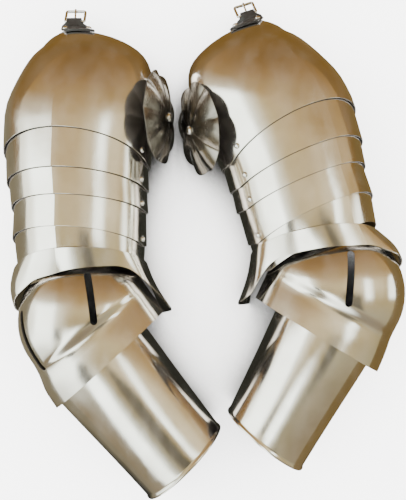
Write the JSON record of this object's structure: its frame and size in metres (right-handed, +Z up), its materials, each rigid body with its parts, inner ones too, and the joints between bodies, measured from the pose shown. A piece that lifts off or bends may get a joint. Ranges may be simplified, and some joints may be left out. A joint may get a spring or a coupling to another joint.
{
  "type": "pair of plate arm harnesses",
  "caption": "Pair of polished steel arm defences: shoulder cap, sliding lames, elbow cup with slots, forearm tube, fluted armpit disc and buckled leather tab.",
  "frame": {"origin": "on the table, under the middle of the pair's bounding box", "axes": "+Z up from the table the pair lies on, +Y from the wrists to the shoulder points, +X from the arm at the picture's left to the one at its right"},
  "size_m": [0.4514, 0.5738, 0.1149],
  "materials": {
    "polished_steel": "mirror-polished sheet steel with fine brushing",
    "dark_steel": "darker satin sheet steel",
    "bright_rivet": "bright polished rivet heads",
    "black_leather": "black grained leather",
    "chrome": "bright plated wire"
  },
  "bodies": {
    "shoulders": {"left_cap": "polished_steel", "left_front_rivet_1": "bright_rivet", "left_back_rivet_1": "bright_rivet", "left_disc": "dark_steel", "left_disc_boss": "bright_rivet", "left_disc_thong": "black_leather", "left_tab": "black_leather", "left_tab_rivet_1": "bright_rivet", "left_tab_rivet_2": "bright_rivet", "left_buckle": "chrome", "left_prong": "chrome", "right_cap": "polished_steel", "right_front_rivet_1": "bright_rivet", "right_back_rivet_1": "bright_rivet", "right_disc": "dark_steel", "right_disc_boss": "bright_rivet", "right_disc_thong": "black_leather", "right_tab": "black_leather", "right_tab_rivet_1": "bright_rivet", "right_tab_rivet_2": "bright_rivet", "right_buckle": "chrome", "right_prong": "chrome"},
    "left_plate_1": {"left_lame_1": "polished_steel", "left_front_rivet_2": "bright_rivet", "left_back_rivet_2": "bright_rivet"},
    "left_plate_2": {"left_lame_2": "polished_steel", "left_front_rivet_3": "bright_rivet", "left_back_rivet_3": "bright_rivet"},
    "left_plate_3": {"left_lame_3": "polished_steel", "left_front_rivet_4": "bright_rivet", "left_back_rivet_4": "bright_rivet"},
    "left_plate_4": {"left_lame_4": "polished_steel", "left_collar": "polished_steel"},
    "left_forearm": {"left_cup": "polished_steel", "left_vambrace": "polished_steel"},
    "right_plate_1": {"right_lame_1": "polished_steel", "right_front_rivet_2": "bright_rivet", "right_back_rivet_2": "bright_rivet"},
    "right_plate_2": {"right_lame_2": "polished_steel", "right_front_rivet_3": "bright_rivet", "right_back_rivet_3": "bright_rivet"},
    "right_plate_3": {"right_lame_3": "polished_steel", "right_front_rivet_4": "bright_rivet", "right_back_rivet_4": "bright_rivet"},
    "right_plate_4": {"right_lame_4": "polished_steel", "right_collar": "polished_steel"},
    "right_forearm": {"right_cup": "polished_steel", "right_vambrace": "polished_steel"}
  },
  "joints": [
    {"name": "left_lap_1", "type": "hinge", "parent": "shoulders", "child": "left_plate_1", "pos_m": [-0.1448, 0.09984, 0.04698], "axis": [-0.9537, -0.0383, -0.2984], "range_deg": [0, 6]},
    {"name": "left_lap_2", "type": "hinge", "parent": "left_plate_1", "child": "left_plate_2", "pos_m": [-0.14334, 0.06807, 0.04518], "axis": [-0.9569, -0.0427, -0.2872], "range_deg": [0, 6]},
    {"name": "left_lap_3", "type": "hinge", "parent": "left_plate_2", "child": "left_plate_3", "pos_m": [-0.14097, 0.04137, 0.04342], "axis": [-0.9609, -0.0479, -0.2729], "range_deg": [0, 6]},
    {"name": "left_lap_4", "type": "hinge", "parent": "left_plate_3", "child": "left_plate_4", "pos_m": [-0.14002, 0.00393, 0.04064], "axis": [-0.9702, -0.0164, -0.2416], "range_deg": [0, 6]},
    {"name": "left_elbow_bend", "type": "hinge", "parent": "left_plate_4", "child": "left_forearm", "pos_m": [-0.13224, -0.0855, 0.045], "axis": [0, 0, 1], "range_deg": [-39, 0]},
    {"name": "right_lap_1", "type": "hinge", "parent": "shoulders", "child": "right_plate_1", "pos_m": [0.10451, 0.12458, 0.05552], "axis": [-0.8679, -0.265, 0.4201], "range_deg": [0, 6]},
    {"name": "right_lap_2", "type": "hinge", "parent": "right_plate_1", "child": "right_plate_2", "pos_m": [0.11207, 0.09269, 0.05381], "axis": [-0.8767, -0.2518, 0.4099], "range_deg": [0, 6]},
    {"name": "right_lap_3", "type": "hinge", "parent": "right_plate_2", "child": "right_plate_3", "pos_m": [0.11673, 0.06609, 0.05214], "axis": [-0.8835, -0.2477, 0.3977], "range_deg": [0, 6]},
    {"name": "right_lap_4", "type": "hinge", "parent": "right_plate_3", "child": "right_plate_4", "pos_m": [0.12562, 0.02987, 0.04952], "axis": [-0.8854, -0.2857, 0.3667], "range_deg": [0, 6]},
    {"name": "right_elbow_bend", "type": "hinge", "parent": "right_plate_4", "child": "right_forearm", "pos_m": [0.15306, -0.0568, 0.045], "axis": [0, 0, -1], "range_deg": [-45, 0]}
  ]
}
